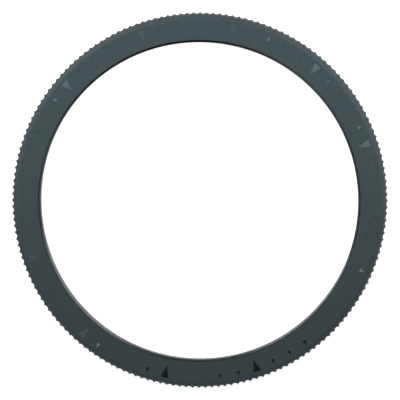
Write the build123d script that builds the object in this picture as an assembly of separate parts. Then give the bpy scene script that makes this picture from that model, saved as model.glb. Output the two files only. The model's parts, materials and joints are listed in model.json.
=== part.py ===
from build123d import *

import os
from math import cos, pi, radians, sin, tan

# Rotating watch bezel: a coin-edged ring that turns and clicks on a seat ring fixed to the watch case.
# Lengths are in millimetres. Z runs up through the face, and the seat ring stands on z = 0.

# Seat ring, from the bore outwards
BORE_DIAMETER = 34.4
NECK_WALL = 0.24
NECK_BELOW_FACE = 0.03
NECK_BEVEL = 0.2
POCKET_INNER_WALL = 0.7
POCKET_OUTER_WALL = 0.25
POCKET_FLOOR = 0.25
FLANGE_HEIGHT = 1.5
FLANGE_THICKNESS = 0.75
FLANGE_OVERHANG = 0.41

# Running and fitting clearances
RUNNING_GAP = 0.05
AXIAL_GAP = 0.02
SEAT_FIT = 0.01
PLUNGER_PLAY = 0.01
GUIDE_CLEARANCE = 0.03

# Retaining wire: a polygon whose corners stand in the skirt's groove and whose sides pass under the flange
WIRE_THICKNESS = 0.25
WIRE_CORNERS = 16
WIRE_OPENING = 2.6
WIRE_GAP = 0.03
SKIRT_GROOVE_DEPTH = 0.28

# Slide ring and the two gaskets
SLIDE_RING_WIDTH = 0.33
FRICTION_GASKET_WIDTH = 0.27
FRICTION_GASKET_HEIGHT = 0.4
SEAT_GASKET_WIDTH = 0.34
SEAT_GASKET_HEIGHT = 0.26

# Click mechanism
CLICK_COUNT = 60
DETENT_COUNT = 4
PLUNGER_DIAMETER = 0.8
PLUNGER_TIP = 0.2
PLUNGER_LENGTH = 0.95
PLUNGER_LIFT = 0.22
VALLEY_ANGLE = 120
VALLEY_LENGTH = 1
CLICK_GAP = 0.14
CLICK_RING_THICKNESS = 0.5
KEY_COUNT = 2
KEY_WIDTH = 0.5
KEY_DEPTH = 0.4
SPRING_WIRE = 0.1
SPRING_DIAMETER = 0.7
SPRING_TURNS = 2
SPRING_SIDES = 4

# Grip ring
ROOF_THICKNESS = 0.86
SKIRT_LIFT = 0.2
SKIRT_WALL = 0.83
FLANK_DRAFT = 4
SHOULDER_RADIUS = 0.7
SHOULDER_BEVEL_ANGLE = 34
SHOULDER_MARGIN = 0.03
KNURL_COUNT = 180
KNURL_DEPTH = 0.2
KNURL_FLOOR_WIDTH = 0.24

# Scale on the face. The small marks sit in the outer part of the band that the large ones fill.
HOUR_COUNT = 12
MINUTE_COUNT = 60
HOUR_MARGIN = 0.19
HOUR_LENGTH = 1.34
HOUR_WIDTH = 0.87
MINUTE_MARGIN = 0.05
MINUTE_LENGTH = 0.55
MINUTE_WIDTH = 0.42
MARK_DEPTH = 0.08
MARK_FIT = 0.005

# One overrun serves every cut
OVERRUN = 0.5
FULL_TURN = 360

# Cylinders and boxes stand on their lower end
UPRIGHT = (Align.CENTER, Align.CENTER, Align.MIN)

# Radii
bore_radius = BORE_DIAMETER / 2
neck_radius = bore_radius + NECK_WALL
plunger_radius = PLUNGER_DIAMETER / 2
pocket_radius = plunger_radius + GUIDE_CLEARANCE
detent_radius = bore_radius + POCKET_INNER_WALL + pocket_radius
foot_radius = detent_radius + pocket_radius + POCKET_OUTER_WALL
flange_radius = foot_radius + FLANGE_OVERHANG
ring_bore_radius = neck_radius + RUNNING_GAP
gasket_seat_radius = ring_bore_radius + FRICTION_GASKET_WIDTH
skirt_inner_radius = flange_radius + RUNNING_GAP
skirt_groove_radius = skirt_inner_radius + SKIRT_GROOVE_DEPTH
tip_radius = skirt_inner_radius + SKIRT_WALL + KNURL_DEPTH

# Heights
flange_low_z = FLANGE_HEIGHT - FLANGE_THICKNESS
wire_z = flange_low_z - WIRE_GAP - WIRE_THICKNESS
click_ring_z = FLANGE_HEIGHT + CLICK_GAP
roof_z = click_ring_z + CLICK_RING_THICKNESS + SEAT_FIT
gasket_seat_z = roof_z + FRICTION_GASKET_HEIGHT + 2 * SEAT_FIT
face_z = roof_z + ROOF_THICKNESS - SEAT_FIT
neck_z = face_z - NECK_BELOW_FACE
plunger_tip_z = click_ring_z + PLUNGER_LIFT
plunger_z = plunger_tip_z - PLUNGER_LENGTH

# The flank leans in by the draft, so the knurl is a little smaller at the face than at its foot
tip_top_radius = tip_radius - (face_z - SKIRT_LIFT) * tan(radians(FLANK_DRAFT))
bevel_radius = tip_top_radius - KNURL_DEPTH - SHOULDER_MARGIN
shoulder_start_radius = bevel_radius - SHOULDER_RADIUS * sin(radians(SHOULDER_BEVEL_ANGLE))

# The large marks stand on a circle just inside the shoulder, and the small ones point at it
hour_base_radius = shoulder_start_radius - HOUR_MARGIN
minute_base_radius = hour_base_radius - MINUTE_MARGIN - MINUTE_LENGTH

# The click ring's keys stand midway between two valleys, and about midway between two plungers
click_pitch = FULL_TURN / CLICK_COUNT
key_angle = (CLICK_COUNT // (2 * DETENT_COUNT) + 1 / 2) * click_pitch


def turned(outline):
    """A ring turned about Z from a closed outline drawn as (radius, height)."""
    return revolve(Plane.XZ * make_face(outline), Axis.Z)


def flat_ring(inner, outer, low, high):
    """A ring of rectangular section."""
    return turned(Polyline((inner, low), (outer, low), (outer, high), (inner, high), close=True))


def around(shape, count, start=0):
    """Copies of a shape at even steps about Z."""
    step = FULL_TURN / count
    return [Rot(0, 0, start + step * index) * shape for index in range(count)]


def seat_ring():
    """The fixed ring: thin bevelled neck, overhanging flange and a pocket for each click plunger."""
    corner_radius = bore_radius + SEAT_GASKET_WIDTH + 2 * SEAT_FIT
    corner_z = SEAT_GASKET_HEIGHT + 2 * SEAT_FIT
    body = turned(
        Polyline(
            (corner_radius, 0),
            (corner_radius, corner_z),
            (bore_radius, corner_z),
            (bore_radius, neck_z - NECK_BEVEL),
            (bore_radius + NECK_BEVEL, neck_z),
            (neck_radius, neck_z),
            (neck_radius, FLANGE_HEIGHT),
            (flange_radius, FLANGE_HEIGHT),
            (flange_radius, flange_low_z),
            (foot_radius, flange_low_z),
            (foot_radius, 0),
            close=True,
        )
    )
    depth = FLANGE_HEIGHT - POCKET_FLOOR + OVERRUN
    pocket = Pos(detent_radius, 0, POCKET_FLOOR) * Cylinder(pocket_radius, depth, align=UPRIGHT)
    return body - around(pocket, DETENT_COUNT)


def click_plunger(index):
    """One click plunger, its cone-shaped tip up in a valley of the click ring."""
    cone_height = (plunger_radius - PLUNGER_TIP / 2) / tan(radians(VALLEY_ANGLE / 2))
    shank_height = PLUNGER_LENGTH - cone_height
    shank = Cylinder(plunger_radius, shank_height, align=UPRIGHT)
    tip = Cone(plunger_radius, PLUNGER_TIP / 2, cone_height, align=UPRIGHT)
    plunger = Pos(detent_radius, 0, plunger_z) * (shank + Pos(0, 0, shank_height) * tip)
    return Rot(0, 0, FULL_TURN / DETENT_COUNT * index) * plunger


def click_spring(index):
    """The coil spring under one plunger, from the pocket's floor to the plunger's end."""
    wire = SPRING_WIRE / 2
    low = POCKET_FLOOR + wire
    high = plunger_z - PLUNGER_PLAY - wire
    path = Helix(
        pitch=(high - low) / SPRING_TURNS, height=high - low, radius=SPRING_DIAMETER / 2 - wire
    )
    section = Plane(path @ 0, z_dir=path % 0) * RegularPolygon(wire, SPRING_SIDES)
    coil = sweep(section, path=path, is_frenet=True)
    return Rot(0, 0, FULL_TURN / DETENT_COUNT * index) * Pos(detent_radius, 0, low) * coil


def click_ring():
    """The detent ring under the roof of the grip ring, with one blind V-shaped valley for each click."""
    ring = flat_ring(
        ring_bore_radius, skirt_inner_radius - SEAT_FIT, click_ring_z, click_ring_z + CLICK_RING_THICKNESS
    )
    # A plunger's cone lies along both flanks, with its play, when its tip is up by PLUNGER_LIFT
    half_angle = radians(VALLEY_ANGLE / 2)
    depth = PLUNGER_LIFT + PLUNGER_TIP / 2 / tan(half_angle) + PLUNGER_PLAY / sin(half_angle)
    half_width = depth * tan(half_angle)
    spread = (depth + OVERRUN) / depth
    valley = make_face(
        Polyline((-half_width * spread, -OVERRUN), (half_width * spread, -OVERRUN), (0, depth), close=True)
    )
    start = detent_radius - VALLEY_LENGTH / 2
    place = Plane(origin=(start, 0, click_ring_z), x_dir=(0, 1, 0), z_dir=(1, 0, 0))
    ring -= around(extrude(place * valley, VALLEY_LENGTH), CLICK_COUNT)
    return ring - key_slots()


def key_slots():
    """The slots for the keys, through the click ring and up into the grip ring's roof."""
    width = KEY_WIDTH + 2 * SEAT_FIT
    slot = Box(width, width, roof_z - click_ring_z + KEY_DEPTH, align=UPRIGHT)
    return around(Pos(detent_radius, 0, click_ring_z) * slot, KEY_COUNT, key_angle)


def click_ring_keys():
    """Square keys through the click ring into the grip ring, each midway between two valleys."""
    low = click_ring_z + AXIAL_GAP
    key = Box(KEY_WIDTH, KEY_WIDTH, roof_z - low + KEY_DEPTH - SEAT_FIT, align=UPRIGHT)
    return around(Pos(detent_radius, 0, low) * key, KEY_COUNT, key_angle)


def slide_ring():
    """The low-friction washer that lies on the flange round the neck and carries the grip ring."""
    inner = neck_radius + RUNNING_GAP
    return flat_ring(inner, inner + SLIDE_RING_WIDTH, FLANGE_HEIGHT, click_ring_z - AXIAL_GAP)


def retaining_wire():
    """The open polygonal spring wire that holds the grip ring on."""
    outer = skirt_groove_radius - WIRE_GAP
    inner = outer - WIRE_THICKNESS / cos(pi / WIRE_CORNERS)
    ring = RegularPolygon(outer, WIRE_CORNERS) - RegularPolygon(inner, WIRE_CORNERS)
    turn = key_angle - FULL_TURN / (2 * WIRE_CORNERS)
    reach = WIRE_THICKNESS + SKIRT_GROOVE_DEPTH + OVERRUN
    opening = Rot(0, 0, FULL_TURN / (2 * WIRE_CORNERS)) * Pos(inner, 0) * Rectangle(reach, WIRE_OPENING)
    return extrude(Pos(0, 0, wire_z) * Rot(0, 0, turn) * (ring - opening), WIRE_THICKNESS)


def friction_gasket():
    """The rubber ring between the neck and the grip ring, which rests on the click ring."""
    low = roof_z
    return flat_ring(
        neck_radius + AXIAL_GAP, gasket_seat_radius - SEAT_FIT, low, low + FRICTION_GASKET_HEIGHT
    )


def seat_gasket():
    """The rubber ring in the lower inner corner of the seat ring."""
    inner = bore_radius + SEAT_FIT
    return flat_ring(inner, inner + SEAT_GASKET_WIDTH, SEAT_FIT, SEAT_FIT + SEAT_GASKET_HEIGHT)


def knurl_outline(crest_radius, z):
    """The coin edge at one height: pointed crests between hollows of two flanks and a floor."""
    scale = crest_radius / tip_radius
    floor_x = (tip_radius - KNURL_DEPTH) * scale
    floor_y = KNURL_FLOOR_WIDTH / 2 * scale
    pitch = FULL_TURN / KNURL_COUNT
    crest = Vector(crest_radius, 0, z).rotate(Axis.Z, -pitch / 2)
    hollow = [crest, Vector(floor_x, -floor_y, z), Vector(floor_x, floor_y, z)]
    corners = [point.rotate(Axis.Z, pitch * index) for index in range(KNURL_COUNT) for point in hollow]
    return Face(Wire.make_polygon(corners, close=True))


def triangle(base_radius, length, width, inset=0):
    """A mark as a flat triangle whose base is square to the radius. A length below 0 points it at the centre."""
    slope = (length**2 + (width / 2) ** 2) ** (1 / 2)
    toward = abs(length) / length
    tip_inset = inset * slope / (width / 2) * toward
    base_x = base_radius + inset * toward
    share = (abs(length) - inset - abs(tip_inset)) / abs(length)
    half = width / 2 * share
    return make_face(
        Polyline((base_x, -half), (base_x, half), (base_radius + length - tip_inset, 0), close=True)
    )


def is_hour(index):
    """Every fifth mark is a large one."""
    return index % (MINUTE_COUNT // HOUR_COUNT) == 0


def marks(large, inset, low, high):
    """All the large or all the small marks, as prisms between two heights."""
    hour_size = (hour_base_radius, -HOUR_LENGTH, HOUR_WIDTH)
    minute_size = (minute_base_radius, MINUTE_LENGTH, MINUTE_WIDTH)
    size = hour_size if large else minute_size
    prism = extrude(Pos(0, 0, low) * triangle(*size, inset), high - low)
    return [
        mark for index, mark in enumerate(around(prism, MINUTE_COUNT)) if is_hour(index) == large
    ]


def bezel_ring():
    """The grip ring: knurled flank, round shoulder, flat face, and below it the seats of all that it carries."""
    outside = tip_radius + OVERRUN
    bevel = radians(SHOULDER_BEVEL_ANGLE)
    bevel_z = face_z - SHOULDER_RADIUS * (1 - cos(bevel))
    outside_z = bevel_z - (outside - bevel_radius) * tan(bevel)
    shoulder = ThreePointArc(
        (shoulder_start_radius, face_z),
        (
            shoulder_start_radius + SHOULDER_RADIUS * sin(bevel / 2),
            face_z - SHOULDER_RADIUS * (1 - cos(bevel / 2)),
        ),
        (bevel_radius, bevel_z),
    )
    outline = shoulder + Polyline(
        (bevel_radius, bevel_z),
        (outside, outside_z),
        (outside, SKIRT_LIFT),
        (skirt_inner_radius, SKIRT_LIFT),
        (skirt_inner_radius, wire_z - WIRE_GAP),
        (skirt_groove_radius, wire_z - WIRE_GAP),
        (skirt_groove_radius, flange_low_z),
        (skirt_inner_radius, flange_low_z),
        (skirt_inner_radius, roof_z),
        (gasket_seat_radius, roof_z),
        (gasket_seat_radius, gasket_seat_z),
        (ring_bore_radius, gasket_seat_z),
        (ring_bore_radius, face_z),
        (shoulder_start_radius, face_z),
    )
    knurl = loft([knurl_outline(tip_radius, SKIRT_LIFT), knurl_outline(tip_top_radius, face_z)], ruled=True)
    body = knurl & turned(outline)
    low = face_z - MARK_DEPTH
    high = face_z + OVERRUN
    return body - key_slots() - marks(True, 0, low, high) - marks(False, 0, low, high)


inlay_z = face_z - MARK_DEPTH + MARK_FIT
pieces = {
    "seat_ring": seat_ring(),
    "seat_gasket": seat_gasket(),
    "slide_ring": slide_ring(),
    "bezel_ring": bezel_ring(),
    "hour_marks": marks(True, MARK_FIT, inlay_z, face_z),
    "minute_marks": marks(False, MARK_FIT, inlay_z, face_z),
    "click_ring": click_ring(),
    "click_ring_keys": click_ring_keys(),
    "retaining_wire": retaining_wire(),
    "friction_gasket": friction_gasket(),
}
for number in range(DETENT_COUNT):
    pieces[f"click_plunger_{number + 1}"] = click_plunger(number)
    pieces[f"click_spring_{number + 1}"] = click_spring(number)

os.makedirs("parts", exist_ok=True)
for name, shape in pieces.items():
    whole = Compound(children=shape) if isinstance(shape, list) else shape
    export_step(whole, f"parts/{name}.step")

print("overall diameter", 2 * tip_radius, "height", face_z)
print("plunger circle radius", detent_radius, "plunger foot height", plunger_z)
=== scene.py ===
"""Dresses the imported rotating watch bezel: fine meshes for what shows, procedural finishes for all of it."""

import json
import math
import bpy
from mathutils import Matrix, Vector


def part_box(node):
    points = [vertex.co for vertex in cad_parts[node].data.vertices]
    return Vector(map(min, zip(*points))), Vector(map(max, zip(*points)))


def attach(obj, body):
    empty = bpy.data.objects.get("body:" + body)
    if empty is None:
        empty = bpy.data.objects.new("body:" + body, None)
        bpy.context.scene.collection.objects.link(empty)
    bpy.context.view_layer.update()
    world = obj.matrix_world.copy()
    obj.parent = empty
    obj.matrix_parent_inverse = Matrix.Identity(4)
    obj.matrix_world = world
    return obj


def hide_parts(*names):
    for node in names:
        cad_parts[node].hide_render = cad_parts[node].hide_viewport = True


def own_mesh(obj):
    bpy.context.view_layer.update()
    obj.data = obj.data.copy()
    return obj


bl_info = {
    "name": "Rotating Watch Bezel",
    "version": (1, 0, 0),
    "blender": (4, 5, 0),
    "location": "3D View > Sidebar > Bezel",
    "description": "Builds a coin-edged rotating watch bezel with its seat ring, scale and studio",
    "category": "Add Mesh",
}

import bmesh
import bpy
from bpy.props import FloatProperty, FloatVectorProperty, IntProperty, PointerProperty
from mathutils import Matrix, Vector
from mathutils.geometry import delaunay_2d_cdt

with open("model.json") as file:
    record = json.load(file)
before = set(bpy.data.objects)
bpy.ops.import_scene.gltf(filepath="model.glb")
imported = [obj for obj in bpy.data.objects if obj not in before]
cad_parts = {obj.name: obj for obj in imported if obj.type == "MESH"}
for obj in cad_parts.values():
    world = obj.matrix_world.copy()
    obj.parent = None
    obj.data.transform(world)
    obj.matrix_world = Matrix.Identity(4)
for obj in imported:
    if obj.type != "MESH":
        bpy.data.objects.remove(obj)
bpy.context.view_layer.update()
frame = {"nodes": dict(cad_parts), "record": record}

MM = 0.001
FULL_TURN = 2 * math.pi
DETENTS = 4
# The sides of a triangle, as pairs of its corners
SIDES = ((0, 1), (1, 2), (2, 0))
# Width of the narrow ring between the flat face and the roundings beside it, which keeps the face's shading flat
FACE_HEM = 0.04 * MM
# How far the neck steps in, and the grip ring's lip reaches in over it, above the friction gasket
NECK_STEP = 0.03 * MM
LIP_REACH = 0.05 * MM
# Gap between the turning ring and the fixed one
RUNNING_GAP = 0.05 * MM
# Play round the wire and the plungers, and round a gasket
PLAY = 0.03 * MM
FIT = 0.01 * MM
# Height of the neck's bevel as a share of its width
BEVEL_RISE = 0.65
# Width of the seat's flange, and where the floors of the plungers' pockets lie
FLANGE_REACH = 0.41 * MM
POCKET_FLOOR = 0.25 * MM
# How far the round part of the shoulder ends inside the hollows' floors
SHOULDER_INSET = 0.03 * MM
# How much wear has taken off a crest
CREST_LOSS = 0.006 * MM
FLOOR_SIZE = 3
FLOOR_DROP = 0.02 * MM
FLOAT = "NodeSocketFloat"
COLOUR = "NodeSocketColor"


def radii(node):
    """The smallest and largest radius of a CAD node about the bezel's axis."""
    found = [Vector(v.co[:2]).length for v in frame["nodes"][node].data.vertices]
    return min(found), max(found)


def heights(node):
    """The lowest and highest point of a CAD node."""
    low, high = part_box(node)
    return low.z, high.z


def length(name, description, default):
    """A length setting."""
    return FloatProperty(name=name, description=description, default=default, unit="LENGTH", precision=5)


def turn_of(name, description, degrees):
    """An angle setting, from degrees."""
    return FloatProperty(name=name, description=description, default=math.radians(degrees), subtype="ANGLE")


def colour_of(name, description, default):
    """A colour setting."""
    return FloatVectorProperty(
        name=name, description=description, subtype="COLOR", size=3, min=0, max=1, default=default
    )


class GripRingSettings(bpy.types.PropertyGroup):
    """Sizes and finish of the turning ring."""

    tip_radius: length("Tip radius", "Radius over the crests of the coin edge, at its foot", 20.5 * MM)
    teeth: IntProperty(name="Teeth", description="Crests round the coin edge", default=180, min=12)
    tooth_depth: length("Tooth depth", "Depth of the hollow between two crests", 0.2 * MM)
    draft: turn_of("Draft", "How far the flank leans in", 4)
    shoulder_radius: length("Shoulder radius", "Rounding between face and coin edge", 0.7 * MM)
    shoulder_angle: turn_of("Shoulder angle", "Slope at which the shoulder runs over the crests", 34)
    crest_round: length("Crest rounding", "Width over which a crest is worn round", 0.05 * MM)
    coat: colour_of("Coat", "Colour of the matt metal coat", (0.0515, 0.0706, 0.076))


class ScaleSettings(bpy.types.PropertyGroup):
    """Sizes and finish of the triangles on the face."""

    hour_length: length("Large length", "Length of a large triangle", 1.34 * MM)
    hour_width: length("Large width", "Width of a large triangle's base", 0.87 * MM)
    minute_length: length("Small length", "Length of a small triangle", 0.55 * MM)
    minute_width: length("Small width", "Width of a small triangle's base", 0.42 * MM)
    hour_margin: length("Large margin", "From the shoulder to a large triangle's base", 0.19 * MM)
    minute_margin: length(
        "Small margin", "From the large triangles' bases to the small ones' points", 0.05 * MM
    )
    depth: length("Depth", "Depth of the pockets that the triangles lie in", 0.08 * MM)
    lacquer: colour_of("Lacquer", "Colour of the gloss triangles", (0.085, 0.113, 0.124))


class SeatSettings(bpy.types.PropertyGroup):
    """Sizes and finish of the fixed ring."""

    land: length("Land", "Height of the straight part of the bore, under the face", 0.5 * MM)
    lead_in: length("Lead-in", "How far the bore opens below its straight part", 0.08 * MM)
    neck_bevel: length("Neck bevel", "Width of the polished bevel round the neck's inner edge", 0.17 * MM)
    steel: colour_of("Steel", "Colour of the polished neck", (0.042, 0.05, 0.051))


class StudioSettings(bpy.types.PropertyGroup):
    """Where the camera stands and how bright the studio is."""

    distance: length("Distance", "From the camera to the ring", 0.5)
    tilt: turn_of("Tilt", "Angle between the view and the ring's axis", 3.2)
    lean: turn_of("Lean", "Side that the camera stands off to, clockwise from the picture's top", 30)
    roll: turn_of("Roll", "Turn of the scale in the picture, clockwise", 11.1)
    view_width: length("View width", "Width of the picture at the ring", 43.51 * MM)
    aim: FloatVectorProperty(
        name="Aim", description="Point that the camera looks at", subtype="TRANSLATION", size=3,
        default=(0.000016, 0.000019, 0.0005), precision=6,
    )
    surround: FloatProperty(
        name="Surround", description="Level of the surround away from its spots", default=0.05, min=0
    )
    floor_lift: FloatProperty(
        name="Floor lift", description="How far the floor is lifted to white where it is looked at",
        default=0.75, min=0,
    )


def settings():
    return bpy.context.scene.bezel


def tone(tree, kind, label, **values):
    """A shader node with its plain properties set."""
    node = tree.nodes.new(kind)
    node.label = label
    for name, value in values.items():
        setattr(node, name, value)
    return node


def link(tree, source, target):
    tree.links.new(source, target)


def new_group(name, inputs, outputs):
    """An empty shader group with float or colour sockets, and its two ends."""
    group = bpy.data.node_groups.new(name, "ShaderNodeTree")
    for label, kind, default in inputs:
        socket = group.interface.new_socket(label, in_out="INPUT", socket_type=kind)
        if default is not None:
            socket.default_value = default
    for label, kind in outputs:
        group.interface.new_socket(label, in_out="OUTPUT", socket_type=kind)
    return group, group.nodes.new("NodeGroupInput"), group.nodes.new("NodeGroupOutput")


def math_node(tree, operation, first, second=None, third=None):
    """A Math node fed by sockets or plain numbers. Returns its output."""
    node = tree.nodes.new("ShaderNodeMath")
    node.operation = operation
    for index, value in enumerate((first, second, third)):
        if value is None:
            continue
        if isinstance(value, (int, float)):
            node.inputs[index].default_value = value
        else:
            link(tree, value, node.inputs[index])
    return node.outputs[0]


def from_axis(tree, place):
    """The distance of a Separate XYZ node's point to the Z axis."""
    x, y = place.outputs["X"], place.outputs["Y"]
    square = math_node(tree, "MULTIPLY_ADD", x, x, math_node(tree, "MULTIPLY", y, y))
    return math_node(tree, "SQRT", square)


def fade(tree, label, value, none, full):
    """A mask that rises smoothly from 0 to 1 as the value goes from none to full."""
    node = tone(tree, "ShaderNodeMapRange", label, interpolation_type="SMOOTHSTEP")
    link(tree, value, node.inputs["Value"])
    node.inputs["From Min"].default_value = none
    node.inputs["From Max"].default_value = full
    return node.outputs[0]


def blast_grain():
    """Fine pitting left by bead blasting, with slow clouds in how the coat took."""
    name = "Blast grain"
    if name in bpy.data.node_groups:
        return bpy.data.node_groups[name]
    group, ends_in, ends_out = new_group(
        name,
        [
            ("Pit size", FLOAT, 0.06 * MM),
            ("Cloud size", FLOAT, 4 * MM),
            ("Colour", COLOUR, (0.1, 0.1, 0.1, 1)),
            ("Colour spread", FLOAT, 0.06),
            ("Roughness", FLOAT, 0.4),
            ("Roughness spread", FLOAT, 0.08),
        ],
        [("Colour", COLOUR), ("Roughness", FLOAT), ("Height", FLOAT)],
    )
    place = group.nodes.new("ShaderNodeTexCoord").outputs["Object"]
    pits = tone(group, "ShaderNodeTexNoise", "Pits")
    pits.inputs["Detail"].default_value = 3
    clouds = tone(group, "ShaderNodeTexNoise", "Clouds")
    clouds.inputs["Detail"].default_value = 2
    for texture, size in ((pits, "Pit size"), (clouds, "Cloud size")):
        link(group, place, texture.inputs["Vector"])
        link(group, math_node(group, "DIVIDE", 1, ends_in.outputs[size]), texture.inputs["Scale"])
    centred = math_node(group, "SUBTRACT", clouds.outputs[0], 0.5)
    fine = math_node(group, "SUBTRACT", pits.outputs[0], 0.5)
    both = math_node(group, "MULTIPLY_ADD", fine, 0.5, centred)
    level = math_node(group, "MULTIPLY_ADD", both, ends_in.outputs["Colour spread"], 1)
    shade = tone(group, "ShaderNodeVectorMath", "Shade", operation="SCALE")
    link(group, ends_in.outputs["Colour"], shade.inputs[0])
    link(group, level, shade.inputs["Scale"])
    rough = math_node(
        group, "MULTIPLY_ADD", both, ends_in.outputs["Roughness spread"], ends_in.outputs["Roughness"]
    )
    link(group, shade.outputs[0], ends_out.inputs["Colour"])
    link(group, rough, ends_out.inputs["Roughness"])
    link(group, pits.outputs[0], ends_out.inputs["Height"])
    return group


def turning_marks():
    """Fine rings left by the lathe, from the distance to the axis and the height."""
    name = "Turning marks"
    if name in bpy.data.node_groups:
        return bpy.data.node_groups[name]
    group, ends_in, ends_out = new_group(
        name,
        [
            ("Spacing", FLOAT, 0.03 * MM),
            ("Roughness", FLOAT, 0.2),
            ("Roughness spread", FLOAT, 0.05),
        ],
        [("Roughness", FLOAT), ("Height", FLOAT)],
    )
    place = tone(group, "ShaderNodeSeparateXYZ", "Place")
    link(group, group.nodes.new("ShaderNodeTexCoord").outputs["Object"], place.inputs[0])
    along = math_node(group, "ADD", from_axis(group, place), place.outputs["Z"])
    rings = tone(group, "ShaderNodeTexNoise", "Rings", noise_dimensions="1D")
    rings.inputs["Detail"].default_value = 2
    link(group, math_node(group, "DIVIDE", along, ends_in.outputs["Spacing"]), rings.inputs["W"])
    rings.inputs["Scale"].default_value = 1
    centred = math_node(group, "SUBTRACT", rings.outputs[0], 0.5)
    link(
        group,
        math_node(
            group, "MULTIPLY_ADD", centred, ends_in.outputs["Roughness spread"], ends_in.outputs["Roughness"]
        ),
        ends_out.inputs["Roughness"],
    )
    link(group, rings.outputs[0], ends_out.inputs["Height"])
    return group


def crest_wear_and_hollow_light():
    """Masks for the coin edge: its crests, which handling has rubbed, and its hollows, which the coat lightens with
    painted light against their shade.
    """
    name = "Crest wear"
    if name in bpy.data.node_groups:
        return bpy.data.node_groups[name]
    group, ends_in, ends_out = new_group(
        name,
        [
            ("Tip radius", FLOAT, 20.5 * MM),
            ("Foot height", FLOAT, 0.2 * MM),
            ("Lean", FLOAT, 0.07),
            ("Depth", FLOAT, 0.16 * MM),
        ],
        [("Crest", FLOAT), ("Hollow", FLOAT)],
    )
    place = tone(group, "ShaderNodeSeparateXYZ", "Place")
    link(group, group.nodes.new("ShaderNodeTexCoord").outputs["Object"], place.inputs[0])
    across = from_axis(group, place)
    lift = math_node(group, "SUBTRACT", place.outputs["Z"], ends_in.outputs["Foot height"])
    tips = math_node(
        group, "SUBTRACT", ends_in.outputs["Tip radius"],
        math_node(group, "MULTIPLY", lift, ends_in.outputs["Lean"]),
    )
    sunk = math_node(
        group, "DIVIDE", math_node(group, "SUBTRACT", tips, across), ends_in.outputs["Depth"]
    )
    link(group, fade(group, "Near the crest", sunk, 0.45, 0.0), ends_out.inputs["Crest"])
    deep = fade(group, "Down in the hollow", sunk, 0.55, 0.95)
    flank = fade(group, "Not on the shoulder", sunk, 1.5, 1.05)
    link(group, math_node(group, "MULTIPLY", deep, flank), ends_out.inputs["Hollow"])
    return group


def placed_group(tree, group, **values):
    node = tree.nodes.new("ShaderNodeGroup")
    node.node_tree = group
    for name, value in values.items():
        socket = node.inputs[name.replace("_", " ")]
        socket.default_value = (*value, 1) if hasattr(value, "__len__") else value
    return node


def new_material(name):
    """A material with one Principled BSDF, wired to the output."""
    material = bpy.data.materials.new(name)
    material.use_nodes = True
    return material, material.node_tree, material.node_tree.nodes["Principled BSDF"]


def bump(tree, shader, height, strength, distance):
    node = tone(tree, "ShaderNodeBump", "Relief")
    node.inputs["Strength"].default_value = strength
    node.inputs["Distance"].default_value = distance
    link(tree, height, node.inputs["Height"])
    link(tree, node.outputs[0], shader.inputs["Normal"])


def matt_coat():
    """The blasted dark metal coat of the grip ring."""
    grip = settings().grip
    material, tree, shader = new_material("Matt dark coat")
    grain = placed_group(
        tree, blast_grain(), Pit_size=0.07 * MM, Cloud_size=5 * MM, Colour=tuple(grip.coat),
        Colour_spread=0.1, Roughness=0.58, Roughness_spread=0.08,
    )
    wear_and_hollow_light = placed_group(
        tree, crest_wear_and_hollow_light(), Tip_radius=grip.tip_radius, Foot_height=heights("bezel_ring")[0],
        Lean=math.tan(grip.draft), Depth=grip.tooth_depth,
    )
    rubbed = tone(tree, "ShaderNodeMix", "Rubbed crests", data_type="RGBA")
    link(tree, math_node(tree, "MULTIPLY", wear_and_hollow_light.outputs["Crest"], 0.55), rubbed.inputs["Factor"])
    link(tree, grain.outputs["Colour"], rubbed.inputs[6])
    rubbed.inputs[7].default_value = (0.175, 0.182, 0.177, 1)
    # Painted light: the hollows are mixed toward a paler, warmer tone that offsets the shade the geometry casts in
    # them
    hollow_light = tone(tree, "ShaderNodeMix", "Painted light in hollows", data_type="RGBA")
    link(tree, math_node(tree, "MULTIPLY", wear_and_hollow_light.outputs["Hollow"], 0.3), hollow_light.inputs["Factor"])
    link(tree, rubbed.outputs[2], hollow_light.inputs[6])
    hollow_light.inputs[7].default_value = (0.075, 0.074, 0.068, 1)
    link(tree, hollow_light.outputs[2], shader.inputs["Base Color"])
    shader.inputs["Metallic"].default_value = 0.7
    shader.inputs["Specular Tint"].default_value = (0.35, 0.35, 0.35, 1)
    shader.inputs["Specular IOR Level"].default_value = 0.2
    link(
        tree,
        math_node(tree, "MULTIPLY_ADD", wear_and_hollow_light.outputs["Crest"], -0.12, grain.outputs["Roughness"]),
        shader.inputs["Roughness"],
    )
    bump(tree, shader, grain.outputs["Height"], 0.4, 0.004 * MM)
    return material


def grained(name, relief, distance, **values):
    """A material with the blast grain in its colour, roughness and relief, and its shader."""
    material, tree, shader = new_material(name)
    grain = placed_group(tree, blast_grain(), **values)
    link(tree, grain.outputs["Colour"], shader.inputs["Base Color"])
    link(tree, grain.outputs["Roughness"], shader.inputs["Roughness"])
    bump(tree, shader, grain.outputs["Height"], relief, distance)
    return material, shader


def gloss_mark():
    """The gloss triangles of the scale."""
    material, shader = grained(
        "Gloss mark", 0.05, 0.002 * MM, Pit_size=0.15 * MM, Cloud_size=0.8 * MM,
        Colour=tuple(settings().scale.lacquer), Colour_spread=0.06, Roughness=0.08, Roughness_spread=0.02,
    )
    shader.inputs["Metallic"].default_value = 0.95
    return material


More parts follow.
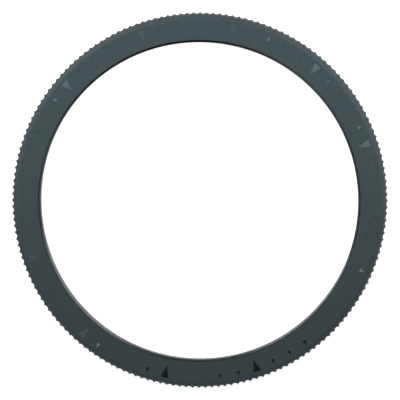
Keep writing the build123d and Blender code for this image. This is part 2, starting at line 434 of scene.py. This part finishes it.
def steel(name, colour, roughness, spacing, relief, edge_tint=1):
    """Turned or ground steel with fine lathe rings. The edge tint dims what it mirrors at a low angle."""
    material, tree, shader = new_material(name)
    rings = placed_group(
        tree, turning_marks(), Spacing=spacing, Roughness=roughness, Roughness_spread=roughness * 0.5
    )
    grain = placed_group(
        tree, blast_grain(), Pit_size=0.12 * MM, Cloud_size=3 * MM, Colour=colour, Colour_spread=0.08,
        Roughness=roughness, Roughness_spread=0.03,
    )
    link(tree, grain.outputs["Colour"], shader.inputs["Base Color"])
    link(tree, rings.outputs["Roughness"], shader.inputs["Roughness"])
    shader.inputs["Metallic"].default_value = 1
    shader.inputs["Specular Tint"].default_value = (edge_tint, edge_tint, edge_tint, 1)
    bump(tree, shader, rings.outputs["Height"], relief, 0.002 * MM)
    return material


def soft_stuff(name, colour, roughness, pit, relief):
    """Rubber or low-friction plastic with a moulded skin."""
    return grained(
        name, relief, 0.006 * MM, Pit_size=pit, Cloud_size=1.5 * MM, Colour=colour, Colour_spread=0.15,
        Roughness=roughness, Roughness_spread=0.12,
    )[0]


def mesh_object(name, vertices, faces, material, smooth_angle=35):
    """A mesh object from points and faces, with sharp edges kept sharp."""
    mesh = bpy.data.meshes.new(name)
    mesh.from_pydata(vertices, [], faces)
    mesh.validate()
    obj = bpy.data.objects.new(name, mesh)
    bpy.context.scene.collection.objects.link(obj)
    mesh.materials.append(material)
    finish_shading(obj, smooth_angle)
    return obj


def finish_shading(obj, smooth_angle):
    mesh = bmesh.new()
    mesh.from_mesh(obj.data)
    bmesh.ops.recalc_face_normals(mesh, faces=mesh.faces)
    limit = math.radians(smooth_angle)
    for edge in mesh.edges:
        edge.smooth = len(edge.link_faces) == 2 and edge.calc_face_angle(0) < limit
    for face in mesh.faces:
        face.smooth = True
    mesh.to_mesh(obj.data)
    mesh.free()
    if not obj.modifiers:
        even = obj.modifiers.new("Even shading", "WEIGHTED_NORMAL")
        even.keep_sharp = True


def bend(start, corner, end, steps):
    """Points along a round corner."""
    return [
        start * (1 - t) ** 2 + corner * 2 * t * (1 - t) + end * t**2
        for t in (step / steps for step in range(steps + 1))
    ]


def rounded(corners, radius, steps=4):
    """A closed outline of (radius, height) corners, each rounded off. A corner may carry its own rounding."""
    outline = []
    count = len(corners)
    for index, corner in enumerate(corners):
        here = Vector(corner[:2])
        size = corner[2] if len(corner) > 2 else radius
        to_last = Vector(corners[index - 1][:2]) - here
        to_next = Vector(corners[(index + 1) % count][:2]) - here
        turn = math.pi - to_last.angle(to_next)
        trim = min(size * math.tan(turn / 2), to_last.length * 0.45, to_next.length * 0.45)
        if trim < 1e-9:
            outline.append(here)
            continue
        start = here + to_last.normalized() * trim
        end = here + to_next.normalized() * trim
        outline += bend(start, here, end, steps)
    return outline


def turned_mesh(outline, columns=720):
    """Points and faces of a closed outline turned about Z."""
    vertices, faces = [], []
    rows = len(outline)
    for column in range(columns):
        angle = FULL_TURN * column / columns
        for radius, height in outline:
            vertices.append((radius * math.cos(angle), radius * math.sin(angle), height))
    for column in range(columns):
        after = (column + 1) % columns
        for row in range(rows):
            below = (row + 1) % rows
            faces.append(
                (column * rows + row, after * rows + row, after * rows + below, column * rows + below)
            )
    return vertices, faces


def dress(node, material):
    """Puts a finish on a CAD node that keeps its own mesh."""
    mesh = frame["nodes"][node].data
    mesh.materials.clear()
    mesh.materials.append(material)


def body_of(node):
    bodies = frame["record"]["behaviour"]["bodies"]
    return next(body for body, nodes in bodies.items() if node in nodes)


def stand_for(piece, *nodes):
    """The piece takes the place of CAD nodes on their body."""
    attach(piece, body_of(nodes[0]))
    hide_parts(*nodes)
    return piece


def shoulder_points(steps=10):
    """The shoulder's outline from the face outwards, as far as its round part goes."""
    grip = settings().grip
    foot, face = heights("bezel_ring")
    top_tip = grip.tip_radius - (face - foot) * math.tan(grip.draft)
    bevel_radius = top_tip - grip.tooth_depth - SHOULDER_INSET
    start = bevel_radius - grip.shoulder_radius * math.sin(grip.shoulder_angle)
    points = [(start - FACE_HEM, face)]
    for step in range(steps + 1):
        angle = grip.shoulder_angle * step / steps
        points.append(
            (
                start + grip.shoulder_radius * math.sin(angle),
                face - grip.shoulder_radius * (1 - math.cos(angle)),
            )
        )
    return points


def mark_table():
    """Every mark of the scale as (is large, angle, base radius, length, width)."""
    scale = settings().scale
    hour_base = shoulder_points()[1][0] - scale.hour_margin
    minute_base = hour_base - scale.minute_margin - scale.minute_length
    found = []
    for index in range(60):
        angle = FULL_TURN * index / 60
        if index % 5 == 0:
            found.append((True, angle, hour_base, -scale.hour_length, scale.hour_width))
        else:
            found.append((False, angle, minute_base, scale.minute_length, scale.minute_width))
    return found


def mark_corners(base, length, width, angle, inset=0.0):
    """The corners of a triangle on the face, anticlockwise. A length below 0 points it at the axis."""
    toward = math.copysign(1, length)
    slope = math.hypot(length, width / 2)
    tip = inset * slope / (width / 2)
    share = (abs(length) - inset - tip) / abs(length)
    points = [
        (base + inset * toward, -width / 2 * share),
        (base + length - tip * toward, 0),
        (base + inset * toward, width / 2 * share),
    ]
    if toward < 0:
        points.reverse()
    turn = Matrix.Rotation(angle, 2)
    return [turn @ Vector(point) for point in points]


TOOTH_SHARES = (0.0, 0.22, 0.43, 0.62, 0.78, 0.9, 0.965)


def tooth_sink(share):
    """Depth of the hollow between two crests, as a round cutter leaves it, the crests a little worn."""
    grip = settings().grip
    half = FULL_TURN / grip.teeth / 2 * grip.tip_radius
    depth = grip.tooth_depth
    cutter = (half**2 + depth**2) / (2 * depth)
    rise = cutter - math.sqrt(cutter**2 - (half * share) ** 2)
    worn = grip.crest_round / half
    blunt = max(0.0, abs(share) - (1 - worn)) / worn
    return depth - rise + blunt**2 * CREST_LOSS


def tooth_columns():
    """The angle and hollow depth of every column of the coin edge. A hollow stands at each mark."""
    grip = settings().grip
    pitch = FULL_TURN / grip.teeth
    shares = [-1.0, *(-s for s in reversed(TOOTH_SHARES[1:])), *TOOTH_SHARES]
    return [
        ((tooth + share / 2) * pitch, tooth_sink(share)) for tooth in range(grip.teeth) for share in shares
    ]


def softened(first, corner, last, trim, steps=3):
    """A corner of an outline rounded between its neighbours."""
    corner = Vector(corner)
    start, end = (
        corner + side.normalized() * min(trim, side.length * 0.45)
        for side in (Vector(first) - corner, Vector(last) - corner)
    )
    return bend(start, corner, end, steps)


def grip_outline(sink, inside):
    """The closed outline of the grip ring at one column: shoulder, flank and foot, then the inside."""
    grip = settings().grip
    foot = heights("bezel_ring")[0]
    lean = math.tan(grip.draft)
    slope = math.tan(grip.shoulder_angle)
    shoulder = shoulder_points()
    edge = shoulder[-1]
    # Where the hollow's or crest's line meets the slope of the shoulder
    top = grip.tip_radius - sink + foot * lean
    height = (edge[1] - (top - edge[0]) * slope) / (1 - lean * slope)
    meet = (top - height * lean, height)
    low = (grip.tip_radius - sink, foot)
    crown = softened(edge, meet, low, 0.035 * MM)
    heel = softened(meet, low, (low[0] - 0.3 * MM, foot), 0.04 * MM)
    return [*shoulder, *crown, *heel, *inside]


def inside_outline():
    """The grip ring's inside from the foot to the face's inner edge: skirt, wire groove, roof and bore."""
    foot, face = heights("bezel_ring")
    skirt = radii("seat_ring")[1] + RUNNING_GAP
    groove = radii("retaining_wire")[1] + PLAY
    wire_low, wire_high = heights("retaining_wire")
    roof = heights("click_ring")[1] + FIT
    gasket = radii("friction_gasket")[1] + FIT
    gasket_top = heights("friction_gasket")[1] + 2 * FIT
    bore = radii("bezel_ring")[0]
    # Radius, height and rounding of every corner
    corners = [
        (skirt, foot, 0.05 * MM),
        (skirt, wire_low - PLAY, 0.02 * MM),
        (groove, wire_low - PLAY, 0.02 * MM),
        (groove, wire_high + PLAY, 0.02 * MM),
        (skirt, wire_high + PLAY, 0.02 * MM),
        (skirt, roof, 0.01 * MM),
        (gasket, roof, 0.01 * MM),
        (gasket, gasket_top, 0.02 * MM),
        (bore - LIP_REACH, gasket_top, 0.02 * MM),
        (bore - LIP_REACH, face, 0.02 * MM),
    ]
    start = (skirt + 0.4 * MM, foot)
    end = (bore + 0.3 * MM, face)
    points = []
    line = [start, *corners, end]
    for index in range(1, len(line) - 1):
        points += softened(line[index - 1][:2], line[index][:2], line[index + 1][:2], line[index][2], 2)
    points.append(Vector((points[-1].x + FACE_HEM, face)))
    return points


def face_fill(inner_ids, outer_ids, vertices, faces):
    """The flat face between two rings of points, with a pocket in it for every mark."""
    scale = settings().scale
    face = heights("bezel_ring")[1]
    unit = 1 / MM
    flat = [Vector(vertices[i][:2]) * unit for i in (*inner_ids, *outer_ids)]
    ids = [*inner_ids, *outer_ids]
    edges = []
    for base, count in ((0, len(inner_ids)), (len(inner_ids), len(outer_ids))):
        edges += [(base + i, base + (i + 1) % count) for i in range(count)]
    pockets = []
    for _, angle, base, length, width in mark_table():
        corners = mark_corners(base, length, width, angle)
        rim = []
        for corner in corners:
            vertices.append((corner.x, corner.y, face))
            rim.append(len(vertices) - 1)
            flat.append(corner * unit)
            ids.append(len(vertices) - 1)
        edges += [(len(flat) - 3 + a, len(flat) - 3 + b) for a, b in SIDES]
        pockets.append(([c * unit for c in corners], rim))
    points, _, triangles, origins, _, _ = delaunay_2d_cdt(flat, edges, [], 0, 1e-7)
    near = 2 * scale.hour_length * unit
    for triangle in triangles:
        corner_ids = [origins[i][0] for i in triangle]
        # A triangle with its three points on the inner ring lies in the bore
        if all(i < len(inner_ids) for i in corner_ids):
            continue
        centre = sum((points[i] for i in triangle), Vector((0, 0))) / 3
        if any(
            (centre - corners[0]).length < near and inside_triangle(centre, corners)
            for corners, _ in pockets
        ):
            continue
        faces.append(tuple(ids[i] for i in corner_ids))
    for corners, rim in pockets:
        floor = []
        for index in rim:
            x, y, _ = vertices[index]
            vertices.append((x, y, face - scale.depth))
            floor.append(len(vertices) - 1)
        for a, b in SIDES:
            faces.append((rim[a], rim[b], floor[b], floor[a]))
        faces.append(tuple(floor))


def inside_triangle(point, corners):
    sides = [(corners[b] - corners[a]).cross(point - corners[a]) > 0 for a, b in SIDES]
    return all(sides) or not any(sides)


def build_grip_ring():
    columns = tooth_columns()
    inside = inside_outline()
    vertices, faces = [], []
    outlines = {}
    rows = 0
    for angle, sink in columns:
        key = round(sink / MM, 6)
        if key not in outlines:
            outlines[key] = grip_outline(sink, inside)
        outline = outlines[key]
        rows = len(outline)
        for radius, height in outline:
            vertices.append((radius * math.cos(angle), radius * math.sin(angle), height))
    count = len(columns)
    for column in range(count):
        after = (column + 1) % count
        for row in range(rows - 1):
            faces.append(
                (column * rows + row, column * rows + row + 1, after * rows + row + 1, after * rows + row)
            )
    outer_ids = [column * rows for column in range(count)]
    inner_ids = [column * rows + rows - 1 for column in range(count)]
    face_fill(inner_ids, outer_ids, vertices, faces)
    return mesh_object("grip_ring", vertices, faces, matt_coat(), 30)


# How far the tops of some marks lean toward +X and +Y, in degrees, as their cutter left them. The rest lie flat.
MARK_LEANS = {
    4: (-1.23, 1.09), 5: (-1.28, 1.42), 6: (-1.36, 2.12), 7: (-1.05, 0.8), 9: (-0.94, 0.95),
    10: (-0.92, 1.24), 13: (-0.71, 1.7), 15: (-0.26, 0.53), 20: (0.2, 0.7), 25: (0.61, 1.47),
    26: (0.5, 2.31), 27: (0.78, 1.19), 30: (0.51, 0.9), 35: (0.42, 1.35), 40: (0.19, 1.74),
    41: (-0.05, 3.74), 44: (0.89, -2.04), 45: (0.78, -2.02), 48: (0.44, -2.09), 49: (0.34, -2.13),
    50: (0.23, -2.17), 51: (0.14, -2.24), 52: (0.05, -2.31), 53: (-0.03, -2.39), 58: (-1.54, 2.98),
}


def build_marks(large, name):
    """The triangles of one size, each with a fine broken edge and a top that leans as its cutter left it."""
    scale = settings().scale
    face = heights("bezel_ring")[1]
    fit, edge = 0.003 * MM, 0.005 * MM
    vertices, faces = [], []
    for index, (is_large, angle, base, length, width) in enumerate(mark_table()):
        if is_large != large:
            continue
        slope = Vector([math.tan(math.radians(lean)) for lean in MARK_LEANS.get(index, (0, 0))])
        low = mark_corners(base, length, width, angle, fit)
        top = mark_corners(base, length, width, angle, fit + edge)
        drops = [corner.dot(slope) for corner in top]
        start = len(vertices)
        for corner in low:
            vertices.append((corner.x, corner.y, face - scale.depth + fit))
        for corner in low:
            drop = corner.dot(slope) - min(drops)
            vertices.append((corner.x, corner.y, face - edge - max(0.0, drop)))
        for corner, down in zip(top, drops):
            vertices.append((corner.x, corner.y, face - (down - min(drops))))
        for ring in (0, 3):
            for a, b in SIDES:
                faces.append((start + ring + a, start + ring + b, start + ring + 3 + b, start + ring + 3 + a))
        faces.append((start, start + 2, start + 1))
        faces.append((start + 6, start + 7, start + 8))
    return mesh_object(name, vertices, faces, gloss_mark(), 20)


def build_seat_ring():
    seat = settings().seat
    bore, flange = radii("seat_ring")
    neck = radii("slide_ring")[0] - RUNNING_GAP
    top = heights("seat_ring")[1]
    step = heights("friction_gasket")[1]
    floor = heights("slide_ring")[0]
    under = heights("retaining_wire")[1] + PLAY
    gasket = radii("seat_gasket")[1] + FIT
    gasket_top = heights("seat_gasket")[1] + FIT
    foot = flange - FLANGE_REACH
    # Radius, height and rounding of every corner
    corners = [
        (gasket, 0, 0.04 * MM),
        (gasket, gasket_top, 0.02 * MM),
        (bore + seat.lead_in, gasket_top, 0.03 * MM),
        (bore, top - seat.land, 0.3 * MM),
        (bore, top - BEVEL_RISE * seat.neck_bevel, 0.012 * MM),
        (bore + seat.neck_bevel, top, 0.1 * MM),
        (neck - NECK_STEP, top, 0.008 * MM),
        (neck - NECK_STEP, step + 0.04 * MM, 0.01 * MM),
        (neck, step + 0.01 * MM, 0.01 * MM),
        (neck, floor, 0.03 * MM),
        (flange, floor, 0.05 * MM),
        (flange, under, 0.05 * MM),
        (foot, under, 0.03 * MM),
        (foot, 0, 0.06 * MM),
    ]
    vertices, faces = turned_mesh(rounded(corners, 0))
    ring = mesh_object(
        "seat_ring_turned", vertices, faces,
        steel("Polished neck steel", tuple(seat.steel), 0.22, 0.02 * MM, 0.08, 0.1),
    )
    low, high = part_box("click_plunger_1")
    reach = ((low + high) / 2).xy.length
    overcut = 0.3 * MM
    depth = floor + overcut - POCKET_FLOOR
    pockets = []
    for index in range(DETENTS):
        angle = FULL_TURN * index / DETENTS
        bpy.ops.mesh.primitive_cylinder_add(
            vertices=64, radius=(high.x - low.x) / 2 + PLAY, depth=depth,
            location=(reach * math.cos(angle), reach * math.sin(angle), POCKET_FLOOR + depth / 2),
        )
        pockets.append(bpy.context.object)
    bpy.ops.object.select_all(action="DESELECT")
    for pocket in pockets:
        pocket.select_set(True)
    bpy.context.view_layer.objects.active = pockets[0]
    bpy.ops.object.join()
    cutter = bpy.context.object
    cut = ring.modifiers.new("Pockets", "BOOLEAN")
    cut.operation = "DIFFERENCE"
    cut.solver = "EXACT"
    cut.object = cutter
    shape = bpy.data.meshes.new_from_object(ring.evaluated_get(bpy.context.evaluated_depsgraph_get()))
    ring.modifiers.clear()
    ring.data = shape
    bpy.data.objects.remove(cutter)
    finish_shading(ring, 30)
    return ring


def skin(rows, count):
    """Faces between the rows of points that stand round a path, without its ends."""
    return [
        (row * count + k, row * count + after, (row + 1) * count + after, (row + 1) * count + k)
        for row in range(rows - 1)
        for k, after in ((k, (k + 1) % count) for k in range(count))
    ]


def build_wire():
    """The polygonal retaining wire: straight sides, bent corners, rounded section, cut ends."""
    reach = radii("retaining_wire")[1]
    low, high = heights("retaining_wire")
    thick = high - low
    sides = 16
    middle = reach - thick / 2 / math.cos(math.pi / sides)
    start = math.radians(45) - math.pi / sides
    corners = [
        Vector((middle * math.cos(angle), middle * math.sin(angle)))
        for angle in (start + FULL_TURN * i / sides for i in range(sides))
    ]
    along = (corners[1] - corners[0]).normalized()
    half_gap, bend_length = 1.3 * MM, 0.35 * MM
    centre = (corners[0] + corners[1]) / 2
    line = [centre + along * half_gap, *corners[1:], corners[0], centre - along * half_gap]
    path = [line[0]]
    for index in range(1, len(line) - 1):
        path += softened(line[index - 1], line[index], line[index + 1], bend_length, 5)
    path.append(line[-1])
    section = rounded(
        [(-thick / 2, -thick / 2), (thick / 2, -thick / 2), (thick / 2, thick / 2), (-thick / 2, thick / 2)],
        0.06 * MM, 3,
    )
    vertices = []
    count = len(section)
    for index, point in enumerate(path):
        before = path[max(index - 1, 0)]
        after = path[min(index + 1, len(path) - 1)]
        across = Vector(((after - before).y, -(after - before).x)).normalized()
        for side, up in section:
            spot = point + across * side
            vertices.append((spot.x, spot.y, (low + high) / 2 + up))
    faces = skin(len(path), count)
    faces.append(tuple(range(count)))
    faces.append(tuple(range(len(vertices) - count, len(vertices))))
    return mesh_object(
        "retaining_wire_bent", vertices, faces,
        steel("Drawn spring steel", (0.5, 0.5, 0.49), 0.28, 0.05 * MM, 0.1),
    )


def ring_piece(node, name, radius, material, set_back=0):
    """A turned ring in the place of a CAD ring, with its edges rounded and its bore set back."""
    inner, outer = radii(node)
    low, high = heights(node)
    inner += set_back
    corners = [(inner, low), (outer, low), (outer, high), (inner, high)]
    vertices, faces = turned_mesh(rounded(corners, radius))
    return stand_for(mesh_object(name, vertices, faces, material), node)


def build_spring(number, material):
    """A coil with closed end turns, from the pocket's floor to the plunger."""
    node = f"click_spring_{number}"
    low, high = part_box(node)
    wire = 0.05 * MM
    coil = (high.x - low.x) / 2 - wire
    centre = (low + high) / 2
    turns, steps, sides = 3.5, 140, 10
    # The dead turns at both ends, a share of the wire each, lie almost flat
    dead, creep = 0.12, 0.08
    bottom, top = low.z + wire, high.z - wire
    path = []
    for step in range(steps + 1):
        t = step / steps
        rise = min(max((t - dead) / (1 - 2 * dead), 0), 1)
        z = bottom + (top - bottom) * (creep * t + (1 - creep) * rise)
        angle = FULL_TURN * turns * t
        path.append(Vector((centre.x + coil * math.cos(angle), centre.y + coil * math.sin(angle), z)))
    vertices, faces = tube(path, wire, sides)
    piece = mesh_object(f"click_spring_coil_{number}", vertices, faces, material)
    stand_for(piece, node)
    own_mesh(piece)
    return piece


def tube(path, radius, sides):
    """Points and faces of a round tube along a path, closed at its ends."""
    vertices = []
    for index, point in enumerate(path):
        along = (path[min(index + 1, len(path) - 1)] - path[max(index - 1, 0)]).normalized()
        side = along.cross(Vector((0, 0, 1))).normalized()
        up = side.cross(along)
        for k in range(sides):
            angle = FULL_TURN * k / sides
            vertices.append(tuple(point + (side * math.cos(angle) + up * math.sin(angle)) * radius))
    faces = skin(len(path), sides)
    faces.append(tuple(reversed(range(sides))))
    faces.append(tuple(range(len(vertices) - sides, len(vertices))))
    return vertices, faces


def build_plunger(number, material):
    """A click plunger: shank with a broken lower edge and a cone-shaped tip."""
    node = f"click_plunger_{number}"
    low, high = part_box(node)
    centre = (low + high) / 2
    radius = (high.x - low.x) / 2
    tip = 0.1 * MM
    cone = (radius - tip) / math.tan(math.radians(60))
    corners = [(0, low.z), (radius, low.z), (radius, high.z - cone), (tip, high.z), (0, high.z)]
    line = [Vector(corners[0])]
    for index in range(1, 4):
        line += softened(corners[index - 1], corners[index], corners[index + 1], 0.035 * MM, 3)
    line.append(Vector(corners[-1]))
    columns = 64
    vertices = [(centre.x, centre.y, low.z)]
    for column in range(columns):
        angle = FULL_TURN * column / columns
        for r, z in line[1:-1]:
            vertices.append((centre.x + r * math.cos(angle), centre.y + r * math.sin(angle), z))
    vertices.append((centre.x, centre.y, high.z))
    rows = len(line) - 2
    faces = []
    for column in range(columns):
        here, after = 1 + column * rows, 1 + (column + 1) % columns * rows
        faces.append((0, after, here))
        for row in range(rows - 1):
            faces.append((here + row, after + row, after + row + 1, here + row + 1))
        faces.append((here + rows - 1, after + rows - 1, len(vertices) - 1))
    return stand_for(mesh_object(f"click_plunger_turned_{number}", vertices, faces, material), node)


class BEZEL_OT_grip_ring(bpy.types.Operator):
    """Build the coin-edged grip ring with its flat face and the pockets of the scale"""

    bl_idname = "bezel.grip_ring"
    bl_label = "Grip Ring"

    def execute(self, context):
        stand_for(build_grip_ring(), "bezel_ring")
        return {"FINISHED"}


class BEZEL_OT_scale_marks(bpy.types.Operator):
    """Build the gloss triangles of the minute scale"""

    bl_idname = "bezel.scale_marks"
    bl_label = "Scale Marks"

    def execute(self, context):
        stand_for(build_marks(True, "hour_marks_gloss"), "hour_marks")
        stand_for(build_marks(False, "minute_marks_gloss"), "minute_marks")
        return {"FINISHED"}


class BEZEL_OT_seat_ring(bpy.types.Operator):
    """Build the fixed seat ring with its polished neck and its plunger pockets"""

    bl_idname = "bezel.seat_ring"
    bl_label = "Seat Ring"

    def execute(self, context):
        stand_for(build_seat_ring(), "seat_ring")
        return {"FINISHED"}


class BEZEL_OT_gaskets(bpy.types.Operator):
    """Build the two rubber gaskets and the slide ring"""

    bl_idname = "bezel.gaskets"
    bl_label = "Gaskets and Slide Ring"

    def execute(self, context):
        rubber = soft_stuff("Moulded nitrile", (0.018, 0.018, 0.018), 0.55, 0.1 * MM, 0.3)
        plastic = soft_stuff("Skived white plastic", (0.78, 0.78, 0.75), 0.45, 0.2 * MM, 0.15)
        behind = settings().seat.lead_in - 2 * FIT
        ring_piece("seat_gasket", "seat_gasket_moulded", 0.09 * MM, rubber, behind)
        ring_piece("friction_gasket", "friction_gasket_moulded", 0.08 * MM, rubber)
        ring_piece("slide_ring", "slide_ring_skived", 0.015 * MM, plastic)
        return {"FINISHED"}


class BEZEL_OT_retaining_wire(bpy.types.Operator):
    """Build the bent wire that holds the grip ring on"""

    bl_idname = "bezel.retaining_wire"
    bl_label = "Retaining Wire"

    def execute(self, context):
        stand_for(build_wire(), "retaining_wire")
        return {"FINISHED"}


class BEZEL_OT_click_mechanism(bpy.types.Operator):
    """Build the plungers and springs, and finish the click ring and its keys"""

    bl_idname = "bezel.click_mechanism"
    bl_label = "Click Mechanism"

    def execute(self, context):
        hard = steel("Ground hard steel", (0.42, 0.42, 0.41), 0.25, 0.03 * MM, 0.1)
        wire = steel("Coiled spring steel", (0.5, 0.5, 0.49), 0.3, 0.04 * MM, 0.08)
        brass = steel("Key brass", (0.62, 0.45, 0.17), 0.3, 0.04 * MM, 0.12)
        for number in range(1, DETENTS + 1):
            build_plunger(number, hard)
            build_spring(number, wire)
        dress("click_ring", hard)
        dress("click_ring_keys", brass)
        return {"FINISHED"}


# Lamps: place (right, up, height) in the picture's directions, width, height, watts
LAMPS = {
    "lamp_upper_left": ((-0.045, 0.038, 0.055), 0.06, 0.06, 0.0418),
    "lamp_top": ((0.0, 0.06, 0.06), 0.06, 0.06, 0.003),
    "lamp_upper_right": ((0.046, 0.034, 0.057), 0.06, 0.06, 0.0392),
    "lamp_low": ((0.0, -0.1, 0.016), 0.12, 0.02, 0.018),
}


def in_picture(right, up):
    """A direction on the floor from its parts to the right and to the top of the picture."""
    roll = settings().studio.roll
    x_axis = Vector((math.cos(roll), math.sin(roll)))
    y_axis = Vector((-math.sin(roll), math.cos(roll)))
    return x_axis * right + y_axis * up


def add_lamp(name, place, width, height, power):
    data = bpy.data.lights.new(name, "AREA")
    data.shape = "RECTANGLE"
    data.size, data.size_y = width, height
    data.energy = power
    lamp = bpy.data.objects.new(name, data)
    bpy.context.scene.collection.objects.link(lamp)
    flat = in_picture(*place[:2])
    lamp.location = (flat.x, flat.y, place[2])
    lamp.rotation_euler = (-lamp.location).to_track_quat("-Z", "Y").to_euler()
    lamp.visible_camera = False


def seen_directly(tree):
    """1 for what the camera, a mirror or glass looks at, and 0 for what only lights the bezel."""
    path = tree.nodes.new("ShaderNodeLightPath")
    mirrored = math_node(tree, "MAXIMUM", path.outputs["Is Glossy Ray"], path.outputs["Is Transmission Ray"])
    return math_node(tree, "MAXIMUM", path.outputs["Is Camera Ray"], mirrored)


def pale_floor():
    """A pale floor that keeps the shadow, lifted to white where it is looked at."""
    material, tree, shader = new_material("Pale floor")
    shader.inputs["Base Color"].default_value = (0.8, 0.8, 0.8, 1)
    shader.inputs["Roughness"].default_value = 0.9
    shader.inputs["Specular IOR Level"].default_value = 0
    glow = math_node(tree, "MULTIPLY", seen_directly(tree), settings().studio.floor_lift)
    shader.inputs["Emission Color"].default_value = (1, 1, 1, 1)
    link(tree, glow, shader.inputs["Emission Strength"])
    return material


# What the gloss triangles and the neck mirror: place (right, up) in degrees from the zenith, inner and outer radius in
# degrees, level. A pale horizon (its radii run inward), dimmer toward the top, pale panels low at the lower left, left
# and right, a dark low patch, two soft glows overhead, a bright panel in them, and the dark opening beside the camera.
SKY_SPOTS = (
    ((0.0, 0.0), 68.0, 46.0, 0.75),
    ((0.0, 66.0), 24.0, 66.0, 0.55),
    ((-67.9, -67.9), 8.0, 26.0, 2.2),
    ((-73.8, -25.9), 8.0, 26.0, 0.95),
    ((73.0, -50.0), 8.0, 26.0, 1.8),
    ((20.9, -75.7), 12.0, 30.0, 0.01),
    ((-1.5, 0.0), 12.0, 18.0, 0.4),
    ((-1.5, 3.4), 3.0, 9.0, 0.68),
    ((-1.5, 3.4), 1.4, 3.0, 1.55),
    ((-1.3, -9.5), 2.2, 4.0, 0.05),
)


def surround():
    """The soft surround with its spots."""
    world = bpy.data.worlds.new("Studio surround")
    world.use_nodes = True
    tree = world.node_tree
    back = tree.nodes["Background"]
    back.inputs["Color"].default_value = (1, 1, 1, 1)
    place = tree.nodes.new("ShaderNodeTexCoord").outputs["Generated"]
    level = None
    for (right, up), inner, outer, value in SKY_SPOTS:
        flat = in_picture(math.tan(math.radians(right)), math.tan(math.radians(up)))
        spot = tone(tree, "ShaderNodeVectorMath", "Toward the spot", operation="DOT_PRODUCT")
        link(tree, place, spot.inputs[0])
        spot.inputs[1].default_value = Vector((flat.x, flat.y, 1)).normalized()
        none, full = math.cos(math.radians(outer)), math.cos(math.radians(inner))
        blend = tone(tree, "ShaderNodeMix", "Spot in the surround", data_type="FLOAT")
        link(tree, fade(tree, "Inside the spot", spot.outputs["Value"], none, full), blend.inputs[0])
        if level is None:
            blend.inputs[2].default_value = settings().studio.surround
        else:
            link(tree, level, blend.inputs[2])
        blend.inputs[3].default_value = value
        level = blend.outputs[0]
    link(tree, level, back.inputs["Strength"])
    return world


class BEZEL_OT_studio(bpy.types.Operator):
    """Build the pale floor, the lamps, the surround and the camera"""

    bl_idname = "bezel.studio"
    bl_label = "Studio"

    def execute(self, context):
        studio = settings().studio
        scene = context.scene
        scene.view_settings.view_transform = "Standard"
        bpy.ops.mesh.primitive_plane_add(size=FLOOR_SIZE, location=(0, 0, -FLOOR_DROP))
        floor = context.object
        floor.name = "floor"
        floor.data.materials.append(pale_floor())
        scene.world = surround()

        for name, lamp in LAMPS.items():
            add_lamp(name, *lamp)

        data = bpy.data.cameras.new("camera")
        camera = bpy.data.objects.new("camera", data)
        scene.collection.objects.link(camera)
        scene.camera = camera
        side = in_picture(math.sin(studio.lean), math.cos(studio.lean)) * math.sin(studio.tilt)
        away = Vector((side.x, side.y, math.cos(studio.tilt)))
        aim = Vector(studio.aim)
        camera.location = aim + away * studio.distance
        up = in_picture(0, 1)
        back = away.normalized()
        right = Vector((up.x, up.y, 0)).cross(back).normalized()
        top = back.cross(right)
        turn = Matrix((right, top, back)).transposed()
        camera.rotation_euler = turn.to_euler()
        data.sensor_width = 36
        data.lens = data.sensor_width * studio.distance / studio.view_width
        data.clip_start, data.clip_end = 0.01, 10
        data.dof.use_dof = False
        return {"FINISHED"}


OPERATORS = (
    BEZEL_OT_seat_ring,
    BEZEL_OT_grip_ring,
    BEZEL_OT_scale_marks,
    BEZEL_OT_gaskets,
    BEZEL_OT_retaining_wire,
    BEZEL_OT_click_mechanism,
    BEZEL_OT_studio,
)


class BezelSettings(bpy.types.PropertyGroup):
    """All that a user can change."""

    grip: PointerProperty(name="Grip ring", description="Sizes and finish of the turning ring", type=GripRingSettings)
    scale: PointerProperty(name="Scale", description="Sizes and finish of the triangles", type=ScaleSettings)
    seat: PointerProperty(name="Seat ring", description="Sizes and finish of the fixed ring", type=SeatSettings)
    studio: PointerProperty(name="Studio", description="Camera and light", type=StudioSettings)


class BEZEL_PT_panel(bpy.types.Panel):
    """Lists the pieces of the bezel and the studio"""

    bl_idname = "BEZEL_PT_panel"
    bl_label = "Rotating Watch Bezel"
    bl_space_type = "VIEW_3D"
    bl_region_type = "UI"
    bl_category = "Bezel"

    def draw(self, context):
        for operator in OPERATORS:
            self.layout.operator(operator.bl_idname)


CLASSES = (
    GripRingSettings, ScaleSettings, SeatSettings, StudioSettings, BezelSettings, *OPERATORS, BEZEL_PT_panel,
)


def register():
    for cls in CLASSES:
        bpy.utils.register_class(cls)
    bpy.types.Scene.bezel = PointerProperty(type=BezelSettings)


def unregister():
    del bpy.types.Scene.bezel
    for cls in reversed(CLASSES):
        bpy.utils.unregister_class(cls)


def main():
    register()
    for operator in OPERATORS:
        group, name = operator.bl_idname.split(".")
        getattr(getattr(bpy.ops, group), name)()


if __name__ == "__main__":
    main()
